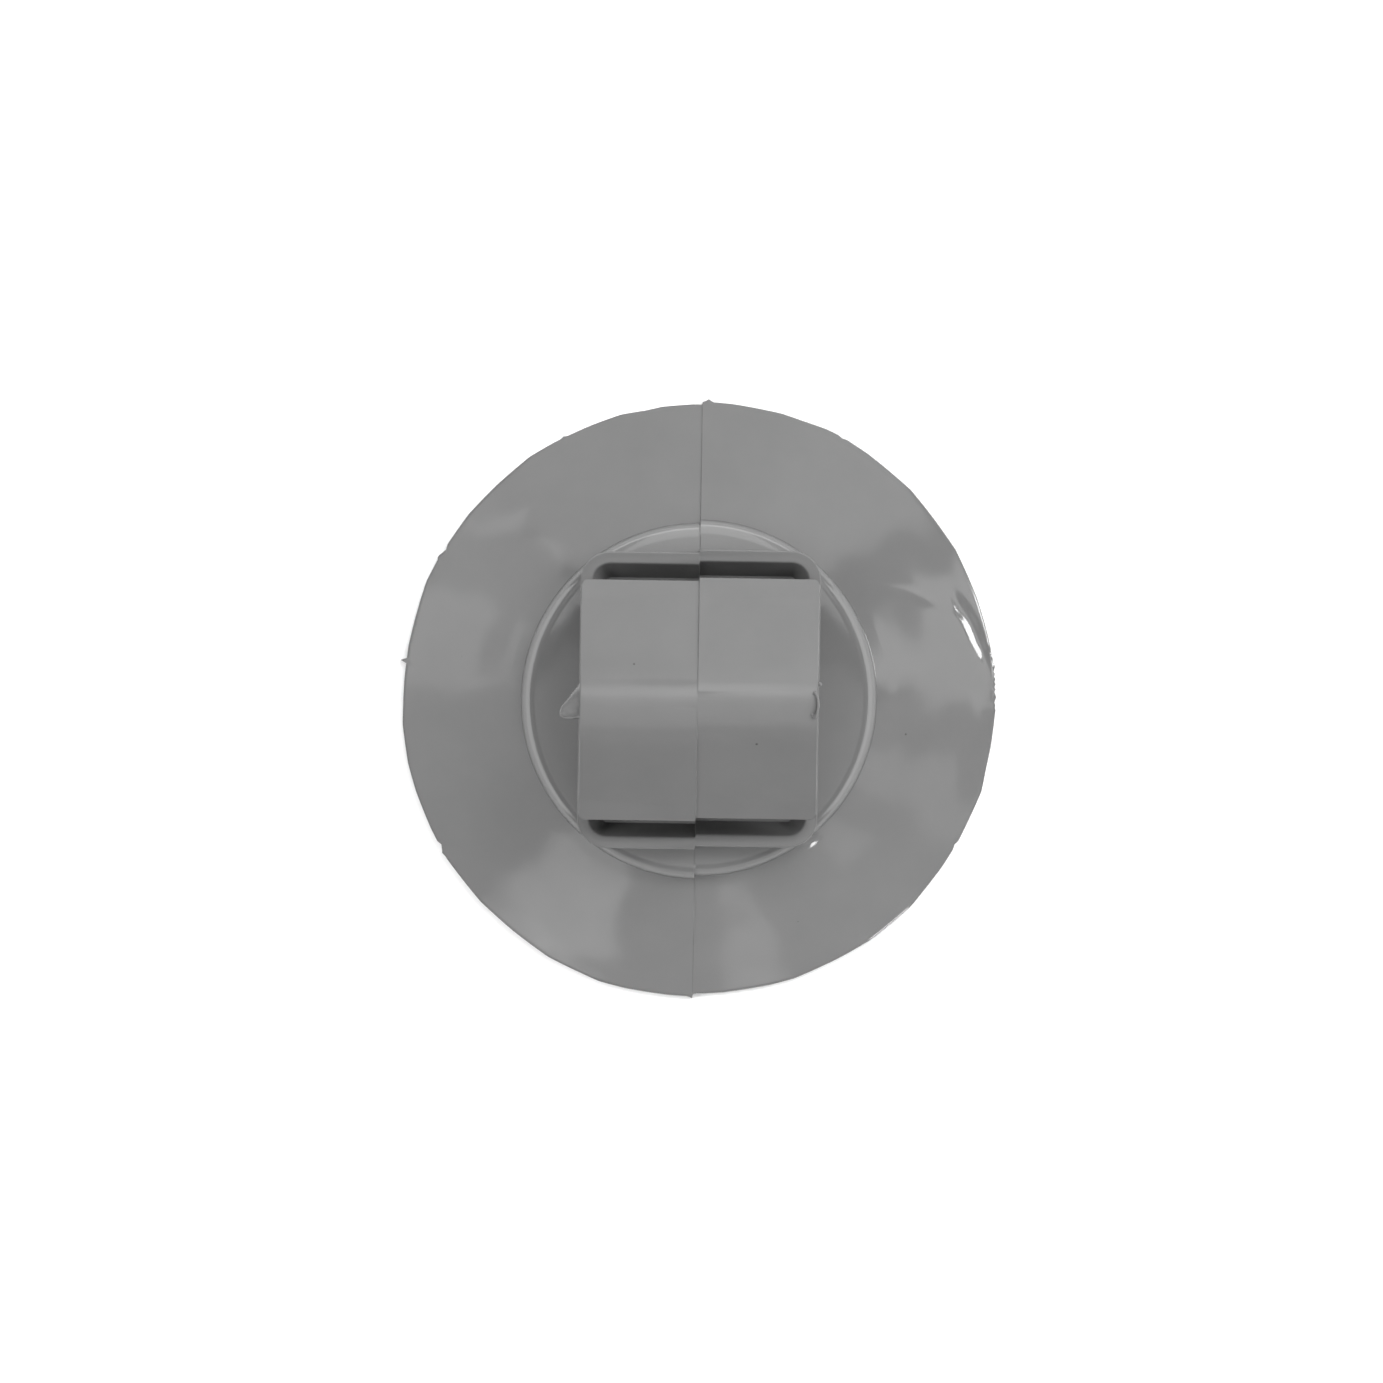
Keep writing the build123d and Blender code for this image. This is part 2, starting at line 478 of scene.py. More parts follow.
# Shallow dents in the cup's outer face, and one bump: angle, radius, half turn, half width, depth and
# slant, which is how much the radius changes with each degree; angles in degrees and the rest in mm
DENTS = (
    (15.0, 19.1, 7.0, 0.42, 0.13, -0.055),
    (20.5, 18.5, 2.5, 0.25, 0.04, -0.03),
    (-51.0, 12.35, 3.0, 0.2, -0.08, 0.0),
    (10.0, 19.45, 1.6, 0.2, 0.04, 0.0),
    (25.0, 16.6, 6.0, 0.4, 0.04, -0.3),
    (5.0, 17.6, 2.0, 0.3, 0.03, -0.1),
)


def edge_marks(angle):
    """Height of the marks at an angle: single ones, and a run of saw teeth on the right."""
    degrees = math.degrees(angle)
    height = 0.0
    for place, half_width, size in EDGE_MARKS:
        apart = abs((degrees - place + 180) % 360 - 180)
        height += size * MM * max(0.0, 1 - apart / half_width)
    turn = (degrees + 180) % 360 - 180
    if SAW[0] < turn < SAW[1]:
        tooth = (turn - SAW[0]) % 1.0
        fade = math.sin(math.pi * (turn - SAW[0]) / (SAW[1] - SAW[0])) ** 0.5
        height += TOOTH * MM * (tooth - 0.4) * fade
    return height


def uneven_edge(piece):
    """Moves the cup's edge in and out, as a knife left it, and sets slow waves in its outer face."""
    cup = settings().cup
    corners = knife_facets()
    for point in piece.data.vertices:
        radius = math.hypot(point.co.x, point.co.y)
        angle = math.atan2(point.co.y, point.co.x)
        share = max(0.0, (radius - LIP_RADIUS) / (CUP_RADIUS - LIP_RADIUS))
        offset = share**2 * edge_offset(angle, corners) + share**8 * edge_marks(angle)
        grow = 1 + offset / radius
        point.co.x *= grow
        point.co.y *= grow
        if HUB_RADIUS + cup.wall < radius < CUP_RADIUS and point.co.z > 0.2 * MM:
            reach = (radius - HUB_RADIUS) / (CUP_RADIUS - HUB_RADIUS)
            # Two waves that wind round the cup, fading towards the hub and the lip
            wave = math.sin(3 * angle + 5 * reach) + 0.7 * math.sin(7 * angle - 9 * reach + 1.3)
            point.co.z += cup.sway * wave * math.sin(math.pi * reach)
        if HUB_RADIUS < radius < CUP_RADIUS and point.co.z > 0.2 * MM:
            for place, at_radius, turn, width, depth, slant in DENTS:
                apart = (math.degrees(angle) - place + 180) % 360 - 180
                across = (radius / MM - at_radius - slant * apart) / width
                point.co.z -= depth * MM * math.exp(-((apart / turn) ** 2) - across**2)


def blend_by_radius(piece):
    """Stands each point at its radius on X, bakes the piece's place and puts each point back."""
    places = [point.co.copy() for point in piece.data.vertices]
    for point in piece.data.vertices:
        point.co = (math.hypot(point.co.x, point.co.y), 0, 0)
    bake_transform(piece)
    for point, place in zip(piece.data.vertices, places):
        point.co = place


class MakeCup(bpy.types.Operator):
    """Make the cup's wall with its lip and trimmed edge"""

    bl_idname = "suction_foot.make_cup"
    bl_label = "Cup"

    def execute(self, context):
        piece = walk_rings(cup_section(), settings().cup.segments)
        bpy.ops.mesh.select_all(action="SELECT")
        bpy.ops.mesh.remove_doubles(threshold=0.001 * MM)
        bpy.ops.object.mode_set(mode="OBJECT")
        uneven_edge(piece)
        part_the_mould(piece)
        finish_piece(piece, "cup_wall")
        blend_by_radius(piece)
        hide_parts("sealing_lip", "cup_skirt")
        return {"FINISHED"}


# --- Hub, collar and stem ---


def hub_section():
    """(radius, height) points from the hub's underside, round its rim and onto its top."""
    fillet = settings().hub.fillet
    soft = 0.15 * MM
    points = [(PLATE_RADIUS - 1 * MM, HUB_UNDER)]
    points += arc((PLATE_RADIUS - 2 * soft, HUB_UNDER - 2 * soft), 2 * soft, 90, 0, 4)
    points += arc((PLATE_RADIUS + soft, HUB_BASE + soft), soft, 180, 270, 3)
    points += arc((HUB_RADIUS - soft, HUB_BASE + soft), soft, -90, 0, 3)
    points += arc((HUB_RADIUS - fillet, HUB_TOP - fillet), fillet, 0, 90 - HUB_FALL, 12)
    inner = HUB_RADIUS - 1.95 * fillet
    points += [(inner, points[-1][1] + (points[-1][0] - inner) * math.tan(math.radians(HUB_FALL)))]
    return points


class MakeHub(bpy.types.Operator):
    """Make the raised hub, with the seat in its top that the collar stands round"""

    bl_idname = "suction_foot.make_hub"
    bl_label = "Hub"

    def execute(self, context):
        section = hub_section()
        hub = walk_rings(section, 240)
        for radius, height in (section[0], section[-1]):
            select_edges(lambda a, b, z=height: near(a.z, z) and near(b.z, z) and on_ring(a, b, radius))
            bpy.ops.mesh.edge_face_add()
        bpy.ops.object.mode_set(mode="OBJECT")
        collar = high("collar")
        sink = settings().hub.collar_wall / 2
        seat = rounded_block(
            collar.x - sink, collar.y - sink, settings().hub.collar_corner - sink, POCKET_FLOOR, collar.z
        )
        bpy.ops.object.mode_set(mode="OBJECT")
        deselect()
        hub.select_set(True)
        bpy.context.view_layer.objects.active = hub
        cut = hub.modifiers.new("Seat", "BOOLEAN")
        cut.operation = "DIFFERENCE"
        cut.solver = "EXACT"
        cut.object = seat
        bpy.ops.object.modifier_apply(modifier=cut.name)
        bpy.data.objects.remove(seat)
        part_the_mould(hub, depth=FAINT_LINE)
        finish_piece(hub, "hub_disc")
        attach(hub, HUB_BODY)
        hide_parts("hub_plate", "hub_rim")
        return {"FINISHED"}


def on_ring(a, b, radius):
    """Whether both ends of an edge stand at a radius."""
    return all(near(math.hypot(end.x, end.y), radius, 0.01 * MM) for end in (a, b))


class MakeCollar(bpy.types.Operator):
    """Make the thin rounded rectangular wall round the head"""

    bl_idname = "suction_foot.make_collar"
    bl_label = "Collar"

    def execute(self, context):
        hub = settings().hub
        top = high("collar")
        bottom = HUB_UNDER + 0.1 * MM
        piece = rounded_block(top.x, top.y, hub.collar_corner, bottom, top.z)
        # The bottom and the top are inset to the wall's thickness, and their middles taken out and bridged
        bpy.ops.mesh.select_mode(type="FACE")
        for height, wall in ((bottom, hub.collar_wall + hub.collar_draft), (top.z, hub.collar_wall)):
            select_level_face(height)
            bpy.ops.mesh.inset(thickness=wall, use_individual=True)
            bpy.ops.mesh.delete(type="FACE")
        select_open_edges()
        bpy.ops.mesh.bridge_edge_loops()
        select_edges(lambda a, b: near(a.z, top.z) and near(b.z, top.z) and not crosses_wall(a, b))
        bpy.ops.mesh.bevel(offset=hub.collar_edge, segments=4, affect="EDGES")
        part_the_mould(piece, depth=FAINT_LINE)
        finish_piece(piece, "collar_wall", crease=40)
        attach(piece, HUB_BODY)
        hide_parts("collar")
        return {"FINISHED"}


def select_open_edges():
    """Selects the edges that bound a hole in the mesh in edit mode."""
    bpy.ops.mesh.select_mode(type="EDGE")
    bpy.ops.mesh.select_all(action="DESELECT")
    mesh = bmesh.from_edit_mesh(bpy.context.edit_object.data)
    for edge in mesh.edges:
        edge.select_set(edge.is_boundary)
    bmesh.update_edit_mesh(bpy.context.edit_object.data)


def select_level_face(height):
    """Selects the level faces at a height."""
    bpy.ops.mesh.select_all(action="DESELECT")
    mesh = bmesh.from_edit_mesh(bpy.context.edit_object.data)
    mesh.normal_update()
    for face in mesh.faces:
        face.select_set(abs(face.normal.z) > 0.99 and near(face.calc_center_median().z, height))
    bmesh.update_edit_mesh(bpy.context.edit_object.data)


def depth_in_wall(place):
    """How far a place is inside the collar's outer face."""
    top = high("collar")
    corner = settings().hub.collar_corner
    x, y = top.x - abs(place.x), top.y - abs(place.y)
    if x < corner and y < corner:
        return corner - math.hypot(corner - x, corner - y)
    return min(x, y)


def crosses_wall(a, b):
    """Whether an edge runs across the collar's wall instead of along it."""
    return abs(depth_in_wall(a) - depth_in_wall(b)) > 0.5 * settings().hub.collar_wall


class MakeStem(bpy.types.Operator):
    """Make the web that carries the head, flared where it joins the hub and the ridge"""

    bl_idname = "suction_foot.make_stem"
    bl_label = "Stem"

    def execute(self, context):
        size = high("stem_web")
        flare = 0.35 * MM
        steps = 4
        outline = []
        for step in range(steps + 1):
            turn = math.radians(90 * step / steps)
            out, up = flare * (1 - math.sin(turn)), flare * (1 - math.cos(turn))
            outline.append((size.y + out, POCKET_FLOOR + up))
        top = size.z - 0.15 * MM
        outline += [(y, top - (z - POCKET_FLOOR)) for y, z in reversed(outline)]
        outline += [(-y, z) for y, z in reversed(outline)]
        outline.append(outline[0])
        outline = [(-y, z) for y, z in outline]
        piece = walk_edge(outline, size.x + 0.2 * MM)
        finish_piece(piece, "stem_post", crease=40)
        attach(piece, HUB_BODY)
        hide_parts("stem_web")
        return {"FINISHED"}


# --- Head ---


def half_head_outline():
    """(y, z) points round the section of the half of the head on the +Y side."""
    head = settings().head
    slope = head.slope
    root_radius = head.wall / 2
    ridge_radius = ROOT.y / math.sin(slope) + root_radius
    centre = (0, RIDGE_TOP - ridge_radius)
    degrees = math.degrees(slope)
    crown = arc(centre, ridge_radius, 90 - 2, 90 - degrees, 16)
    under = arc(centre, ridge_radius - head.wall, 90 - degrees, 90, 10)
    tip_top = (TIP_Y, SHOULDER + head.tip)
    catch = (under[0][0] + (under[0][1] - SHOULDER) / math.tan(slope), SHOULDER)
    # A narrow level strip along the ridge's top lets the two halves meet without a crease
    outline = [(0, crown[0][1]), *crown]
    outline += between(crown[-1], tip_top, 10)
    outline += [(TIP_Y, SHOULDER), catch]
    outline += between(catch, under[0], 8)
    outline += under[1:]
    outline.append(outline[0])
    return outline


def soften_head(head):
    """Rounds the half head's upright corners, then its other outer edges."""
    bpy.ops.mesh.select_all(action="SELECT")
    bpy.ops.mesh.normals_make_consistent(inside=False)
    select_edges(lambda a, b: near(a.y, TIP_Y) and near(b.y, TIP_Y) and near(a.x, b.x))
    bpy.ops.mesh.bevel(offset=head.corner, segments=6, affect="EDGES")
    select_edges(lambda a, b: is_rim_edge(a, b, head.corner))
    bpy.ops.mesh.bevel(offset=head.edge, segments=3, affect="EDGES")


def is_rim_edge(a, b, corner):
    """Whether an edge bounds the head's end faces or its tip, away from the middle."""
    if near(a.y, 0) and near(b.y, 0):
        return False
    at_end = near(abs(a.x), HEAD_HALF) and near(abs(b.x), HEAD_HALF) and near(a.x, b.x)
    level = near(a.z, b.z)
    tip_top = SHOULDER + settings().head.tip
    near_tip = min(a.y, b.y) > TIP_Y - corner - 0.01 * MM
    tip_height = near(a.z, tip_top, 0.4 * MM) or near(a.z, SHOULDER)
    return at_end or (near_tip and level and tip_height and outer_edge(a, b, corner))


def outer_edge(a, b, corner):
    """Whether both ends lie on the head's outer outline, seen from above."""

    def on_outline(p):
        dx = abs(p.x) - (HEAD_HALF - corner)
        dy = p.y - (TIP_Y - corner)
        if dx > 0 and dy > 0:
            return near(math.hypot(dx, dy), corner, 0.02 * MM)
        return near(p.y, TIP_Y) or near(abs(p.x), HEAD_HALF)

    return on_outline(a) and on_outline(b)


class MakeHead(bpy.types.Operator):
    """Make the head's two halves, which meet along the ridge"""

    bl_idname = "suction_foot.make_head"
    bl_label = "Head"

    def execute(self, context):
        for name, side, wing in (("head_upper_half", 1, "upper_wing"), ("head_lower_half", -1, "lower_wing")):
            piece = walk_edge(half_head_outline(), HEAD_HALF)
            soften_head(settings().head)
            if side < 0:
                bpy.ops.mesh.select_all(action="SELECT")
                bpy.ops.transform.resize(value=(1, -1, 1), center_override=(0, 0, 0))
                bpy.ops.mesh.normals_make_consistent(inside=False)
            part_the_mould(piece, depth=FAINT_LINE)
            finish_piece(piece, name, crease=24)
            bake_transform(piece)
            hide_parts(wing, "head_ridge")
        return {"FINISHED"}


# --- Gate marks ---


# Sections of the torn gate: distance out, middle in Y, half size in Y and half size in Z, in mm
TEAR = (
    (0.0, -0.05, 1.45, 0.75), (0.2, -0.2, 1.2, 0.62), (0.45, -0.4, 1.0, 0.5),
    (0.7, -0.58, 0.82, 0.42), (0.95, -0.74, 0.66, 0.34), (1.2, -0.88, 0.5, 0.27),
    (1.38, -0.97, 0.34, 0.2), (1.47, -1.02, 0.16, 0.1),
)
# The ring-shaped gate: its radius and its wire's in mm, its squeeze, and its lean in degrees
RING_RADIUS = 0.72
RING_WIRE = 0.15
RING_SQUEEZE = (0.42, 1.08, 0.9)
RING_LEAN = 34
CRUMB_RADIUS = 0.16
# A direction along which no two points of the torn gate stand level
SORT_AXIS = Vector((8.04, 7.98, -4.5))


def order_points():
    """Sorts the points by place, because subdivide doesn't list them in the same order on each run."""
    mesh = bmesh.from_edit_mesh(bpy.context.edit_object.data)
    mesh.verts.sort(key=lambda point: point.co.dot(SORT_AXIS))
    bmesh.update_edit_mesh(bpy.context.edit_object.data)


class MakeGateMarks(bpy.types.Operator):
    """Make the torn gate on the ridge's left end, and the ring-shaped one on its right end"""

    bl_idname = "suction_foot.make_gate_marks"
    bl_label = "Gate marks"

    def execute(self, context):
        self.torn_gate()
        self.ring_gate()
        return {"FINISHED"}

    def torn_gate(self):
        """A fin that leans out to the left and down, torn along its upper edge."""
        low_place, high_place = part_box("gate_stub_left")
        middle = (low_place + high_place) / 2
        deselect()
        bpy.ops.mesh.primitive_circle_add(
            vertices=16, radius=1, fill_type="NGON",
            location=(high_place.x + 0.15 * MM, 0, middle.z), rotation=(0, -math.pi / 2, 0),
        )
        piece = bpy.context.object
        bpy.ops.object.transform_apply(location=True, rotation=True, scale=True)
        into_edit()
        out, y, tall, deep = TEAR[0]
        bpy.ops.transform.resize(
            value=(1, tall * MM, deep * MM), center_override=(0, 0, middle.z)
        )
        bpy.ops.transform.translate(value=(0, y * MM, 0))
        for new_out, new_y, new_tall, new_deep in TEAR[1:]:
            bpy.ops.mesh.extrude_region_move(
                TRANSFORM_OT_translate={"value": ((out - new_out) * MM, (new_y - y) * MM, 0)}
            )
            centre = (0, new_y * MM, middle.z)
            bpy.ops.transform.resize(value=(1, new_tall / tall, new_deep / deep), center_override=centre)
            out, y, tall, deep = new_out, new_y, new_tall, new_deep
        bpy.ops.mesh.select_all(action="SELECT")
        bpy.ops.mesh.subdivide(number_cuts=1, smoothness=0.4)
        order_points()
        bpy.ops.transform.vertex_random(offset=0.035 * MM, uniform=0.3, seed=3)
        finish_piece(piece, "gate_tear", crease=50)
        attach(piece, HUB_BODY)
        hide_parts("gate_stub_left")

    def ring_gate(self):
        """A small ring that breaks over the ridge's right edge, and a crumb beside it."""
        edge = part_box("head_ridge")[1]
        deselect()
        bpy.ops.mesh.primitive_torus_add(
            major_segments=48, minor_segments=10,
            major_radius=RING_RADIUS * MM, minor_radius=RING_WIRE * MM, location=(0, 0, 0),
        )
        piece = bpy.context.object
        bpy.ops.object.transform_apply(location=True, rotation=True, scale=True)
        into_edit()
        bpy.ops.transform.resize(value=RING_SQUEEZE, center_override=(0, 0, 0))
        bpy.ops.transform.rotate(value=math.radians(RING_LEAN), orient_axis="Y", center_override=(0, 0, 0))
        bpy.ops.transform.translate(value=(edge.x - 0.24 * MM, -0.25 * MM, edge.z - 0.06 * MM))
        bpy.ops.mesh.primitive_ico_sphere_add(
            subdivisions=3, radius=CRUMB_RADIUS * MM,
            location=(edge.x + 0.08 * MM, 1.15 * MM, edge.z - 0.35 * MM),
        )
        bpy.ops.mesh.select_all(action="SELECT")
        bpy.ops.transform.vertex_random(offset=0.02 * MM, uniform=0.4, seed=5)
        finish_piece(piece, "gate_ring", crease=60)
        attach(piece, HUB_BODY)
        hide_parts("gate_ring_right")


# --- Material ---


# The plastic's patterns: how many cells of each one fit in a metre
CLOUD_SCALE = 260.0
PATCH_SCALE = 110.0
GRAIN_SCALE = 5200.0
SPECK_SCALE = 420.0
RARITY_SCALE = 150.0
# Size of a speck in its cell, the share of the noise that lets it show, and how much it darkens
SPECK_SIZE = 0.035
SPECK_RARITY = 0.62
SPECK_DARKNESS = 0.5
# Relief of the patterns, and of the grain where the mould is satin
PATCH_RELIEF = 0.06 * MM
CLOUD_RELIEF = 0.01 * MM
GRAIN_RELIEF = 0.0003 * MM
SATIN_RELIEF = 0.0009 * MM
# How far the patterns change the colour and the roughness
GRAIN_TONE = 0.02
PATCH_ROUGHNESS = 0.08
GRAIN_ROUGHNESS = 0.04
GREY_PVC = "Grey soft PVC"


class Field:
    """A shader socket that sums and multiplies like a number, adding Math nodes as it does."""

    def __init__(self, tree, socket):
        self.tree = tree
        self.socket = socket

    def math(self, operation, first, second):
        node = self.tree.nodes.new("ShaderNodeMath")
        node.operation = operation
        for place, value in enumerate((first, second)):
            if isinstance(value, Field):
                self.tree.links.new(value.socket, node.inputs[place])
            else:
                node.inputs[place].default_value = value
        return Field(self.tree, node.outputs[0])

    def __add__(self, other):
        return self.math("ADD", self, other)

    def __radd__(self, other):
        return self.math("ADD", other, self)

    def __sub__(self, other):
        return self.math("SUBTRACT", self, other)

    def __rsub__(self, other):
        return self.math("SUBTRACT", other, self)

    def __mul__(self, other):
        return self.math("MULTIPLY", self, other)

    def __rmul__(self, other):
        return self.math("MULTIPLY", other, self)

    def __lt__(self, other):
        return self.math("LESS_THAN", self, other)

    def __gt__(self, other):
        return self.math("GREATER_THAN", self, other)


class Shader:
    """A material's node tree, with one way to add a node."""

    def __init__(self, name):
        self.material = bpy.data.materials.new(name)
        self.material.use_nodes = True
        self.tree = self.material.node_tree
        self.tree.nodes.clear()

    def node(self, kind, options=None, out=0, **values):
        """Adds a node, sets its options and then its sockets, and gives one output, if it has any."""
        node = self.tree.nodes.new(kind)
        for name, value in (options or {}).items():
            setattr(node, name, value)
        for name, value in values.items():
            socket = node.inputs[name.replace("_", " ")]
            if isinstance(value, Field):
                self.tree.links.new(value.socket, socket)
            else:
                socket.default_value = value
        return Field(self.tree, node.outputs[out]) if node.outputs else None


def plastic():
    """The grey plastic: clouded colour, polished or satin by height, slow waves, grain and a few specks."""
    found = bpy.data.materials.get(GREY_PVC)
    if found:
        return found
    look = settings().plastic
    shader = Shader(GREY_PVC)
    place = shader.node("ShaderNodeTexCoord", out=3)
    noise = "ShaderNodeTexNoise"
    clouds = shader.node(noise, Vector=place, Scale=CLOUD_SCALE, Detail=4.0, Roughness=0.55)
    patches = shader.node(noise, Vector=place, Scale=PATCH_SCALE, Detail=2.0, Roughness=0.5)
    grain = shader.node(noise, Vector=place, Scale=GRAIN_SCALE, Detail=3.0, Roughness=0.6)
    rarity = shader.node(noise, Vector=place, Scale=RARITY_SCALE, Detail=0.0)
    dots = shader.node("ShaderNodeTexVoronoi", Vector=place, Scale=SPECK_SCALE, Randomness=1.0)
    specks = (dots < SPECK_SIZE) * (rarity > SPECK_RARITY)
    tone = (clouds - 0.5) * (2 * look.clouding) + (grain - 0.5) * GRAIN_TONE + 1.0
    shade = tone * (1.0 - specks * SPECK_DARKNESS)
    colour = shader.node(
        "ShaderNodeVectorMath", {"operation": "SCALE"}, Vector=tuple(look.colour), Scale=shade,
    )
    satin = shader.node("ShaderNodeSeparateXYZ", out=2, Vector=place) > SATIN_HEIGHT
    unevenness = (patches - 0.5) * PATCH_ROUGHNESS + (grain - 0.5) * GRAIN_ROUGHNESS
    roughness = look.roughness + satin * look.satin + unevenness
    waves = patches * PATCH_RELIEF + clouds * CLOUD_RELIEF
    relief = waves + grain * (satin * SATIN_RELIEF + GRAIN_RELIEF)
    bump = shader.node("ShaderNodeBump", Height=relief, Distance=1.0, Strength=1.0)
    surface = shader.node(
        "ShaderNodeBsdfPrincipled", Base_Color=colour, Roughness=roughness, Normal=bump, IOR=1.5,
    )
    shader.node("ShaderNodeOutputMaterial", Surface=surface)
    return shader.material


# --- Stage ---

LIGHT_DISTANCE = 0.6
WORLD_STRENGTH = 0.1
FLOOR_SIZE = 3
FLOOR_ROUGHNESS = 0.8
FLOOR_GAP = 0.02 * MM
# Place that the camera stands over, a little off the foot's axis
VIEW_CENTRE = (-0.51 * MM, 0.53 * MM)


def floor_paint():
    """A matt pale paint with a slightly uneven roughness."""
    shader = Shader("Pale floor")
    place = shader.node("ShaderNodeTexCoord", out=3)
    tint = settings().stage.floor_colour
    grain = shader.node("ShaderNodeTexNoise", Vector=place, Scale=40.0, Detail=2.0)
    surface = shader.node(
        "ShaderNodeBsdfPrincipled", Base_Color=(*tint, 1), Roughness=FLOOR_ROUGHNESS + (grain - 0.5) * 0.1,
    )
    shader.node("ShaderNodeOutputMaterial", Surface=surface)
    return shader.material


# Lights: name, azimuth, elevation, width and height in degrees, radiance, and roll in degrees if any.
# Large soft windows light the body of the plastic
WINDOWS = (
    ("Upper right window", 42, 45, 44, 26, 7.6),
    ("Left window", 176, 42, 44, 28, 6.5),
    ("Right window", 0, 32, 50, 30, 3.7),
    ("Top window", 78, 63, 40, 24, 2.7),
    ("Front window", 270, 30, 50, 24, 4.4),
    ("Low top window", 90, 14, 60, 20, 1.8),
)
# Strips and panes show only in the gloss, and most of them on a few pieces only
REFLECTIONS = {
    (): (
        ("Upper pane", 90, 38, 70, 56, 1.2),
        ("Wide sheen", 270, 72, 50, 40, 1.0),
    ),
    ("hub_disc",): (
        ("Right strip", 0, 17, 80, 34, 3.2),
        ("Left strip", 180, 17, 80, 34, 3.4),
        ("Top strip", 90, 4, 80, 14, 5.0),
        ("Hub sheen", 90, 46, 40, 74, 2.0),
        ("Bottom strip", 270, 10, 80, 16, 1.6),
    ),
    ("head_upper_half", "head_lower_half"): (("Overhead sheen", 90, 78, 40, 18, 3.0),),
    ("cup_wall",): (
        ("Left haze", 193, 42, 84, 40, 1.1),
        ("Front haze", 285, 42, 90, 40, 1.0),
        ("Right haze", 346, 42, 22, 40, 0.7),
        ("Left pane", 167, 43, 16, 12, 1.1),
        ("Lower left pane", 238, 43, 20, 13, 0.7),
        ("Lower pane", 282, 43, 8, 12, 1.3),
        ("Lower right pane", 315, 37, 8, 8, 0.9),
        ("Right pane", 14, 44, 20, 16, 2.3, 24),
        ("Right lamp", 15, 20, 14, 22, 22.0),
        ("Corner lamp", 309, 12, 8, 18, 16.0),
    ),
}


def soft_box(name, azimuth, elevation, width, height, radiance, roll=0):
    """A rectangular light aimed at the foot: its place and its size are angles in degrees."""
    light = bpy.data.lights.new(name, "AREA")
    light.shape = "RECTANGLE"
    light.size = 2 * LIGHT_DISTANCE * math.tan(math.radians(width / 2))
    light.size_y = 2 * LIGHT_DISTANCE * math.tan(math.radians(height / 2))
    light.energy = radiance * math.pi * light.size * light.size_y
    lamp = bpy.data.objects.new(name, light)
    bpy.context.scene.collection.objects.link(lamp)
    a, e = math.radians(azimuth), math.radians(elevation)
    away = Vector((math.cos(a) * math.cos(e), math.sin(a) * math.cos(e), math.sin(e)))
    lamp.location = away * LIGHT_DISTANCE
    lamp.rotation_euler = away.to_track_quat("Z", "Y").to_euler()
    lamp.rotation_euler.rotate_axis("Z", math.radians(roll))
    lamp.visible_camera = False
    return lamp


def reach_only(lamp, pieces):
    """Lets a light reach the named pieces only, or everything if none is named."""
    if pieces:
        lit = bpy.data.collections.new(lamp.name + " lights")
        for piece in pieces:
            lit.objects.link(bpy.data.objects[piece])
        lamp.light_linking.receiver_collection = lit


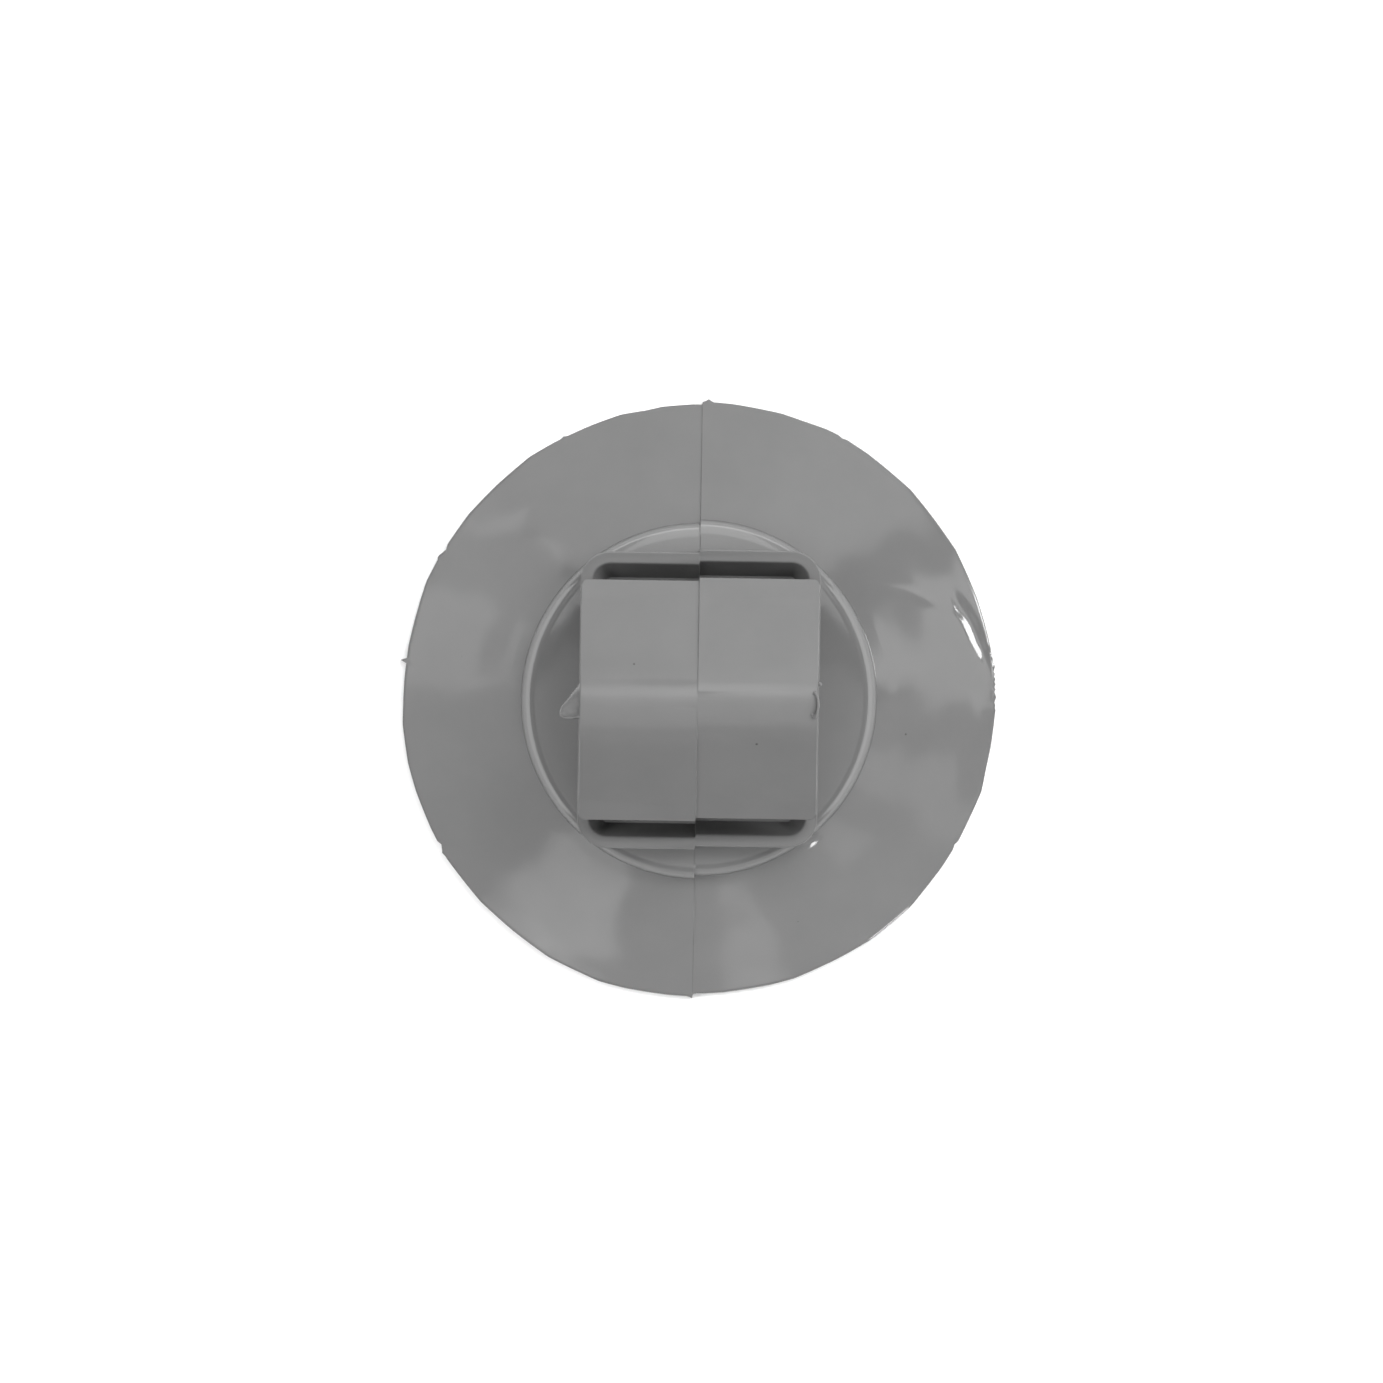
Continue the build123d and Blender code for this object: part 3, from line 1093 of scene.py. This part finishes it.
class MakeStage(bpy.types.Operator):
    """Make the floor, the lights and the camera"""

    bl_idname = "suction_foot.make_stage"
    bl_label = "Stage"

    def execute(self, context):
        self.floor()
        self.lights()
        self.camera()
        context.scene.view_settings.view_transform = "Standard"
        return {"FINISHED"}

    def floor(self):
        deselect()
        bpy.ops.mesh.primitive_plane_add(size=FLOOR_SIZE, location=(0, 0, -FLOOR_GAP))
        floor = bpy.context.object
        floor.name = "floor"
        floor.data.materials.append(floor_paint())

    def lights(self):
        world = bpy.data.worlds.new("Studio")
        world.use_nodes = True
        background = world.node_tree.nodes["Background"]
        background.inputs["Color"].default_value = (1, 1, 1, 1)
        background.inputs["Strength"].default_value = WORLD_STRENGTH
        bpy.context.scene.world = world
        for window in WINDOWS:
            soft_box(*window).visible_glossy = False
        for pieces, reflections in REFLECTIONS.items():
            for reflection in reflections:
                light = soft_box(*reflection)
                light.visible_diffuse = False
                reach_only(light, pieces)

    def camera(self):
        stage = settings().stage
        lens = bpy.data.cameras.new("Camera")
        lens.type = "PERSP"
        lens.sensor_width = 36
        lens.lens = lens.sensor_width * stage.distance / stage.view_width
        lens.clip_end = 10
        camera = bpy.data.objects.new("Camera", lens)
        bpy.context.scene.collection.objects.link(camera)
        camera.location = (*VIEW_CENTRE, stage.distance)
        camera.rotation_euler = (0, 0, stage.roll)
        bpy.context.scene.camera = camera


# --- Add-on ---


class FootPanel(bpy.types.Panel):
    """Lists the foot's pieces and settings"""

    bl_idname = "VIEW3D_PT_suction_foot"
    bl_label = "Suction Foot"
    bl_space_type = "VIEW_3D"
    bl_region_type = "UI"
    bl_category = "Suction Foot"

    def draw(self, context):
        for operator in OPERATORS:
            self.layout.operator(operator.bl_idname)
        for group in GROUP_NAMES:
            box = self.layout.box()
            box.label(text=group.capitalize())
            values = getattr(context.scene.suction_foot, group)
            for name in values.__annotations__:
                box.prop(values, name)


GROUP_NAMES = ("cup", "hub", "head", "mould", "plastic", "stage")
GROUPS = (CupSizes, HubSizes, HeadSizes, MouldMarks, PlasticLook, StageLook, FootSettings)
OPERATORS = (MakeCup, MakeHub, MakeCollar, MakeStem, MakeHead, MakeGateMarks, MakeStage)
CLASSES = (*GROUPS, *OPERATORS, FootPanel)


def register():
    for cls in CLASSES:
        bpy.utils.register_class(cls)
    bpy.types.Scene.suction_foot = bpy.props.PointerProperty(type=FootSettings)


def unregister():
    del bpy.types.Scene.suction_foot
    for cls in reversed(CLASSES):
        bpy.utils.unregister_class(cls)


def main():
    register()
    bpy.ops.suction_foot.make_cup()
    bpy.ops.suction_foot.make_hub()
    bpy.ops.suction_foot.make_collar()
    bpy.ops.suction_foot.make_stem()
    bpy.ops.suction_foot.make_head()
    bpy.ops.suction_foot.make_gate_marks()
    bpy.ops.suction_foot.make_stage()


if __name__ == "__main__":
    main()
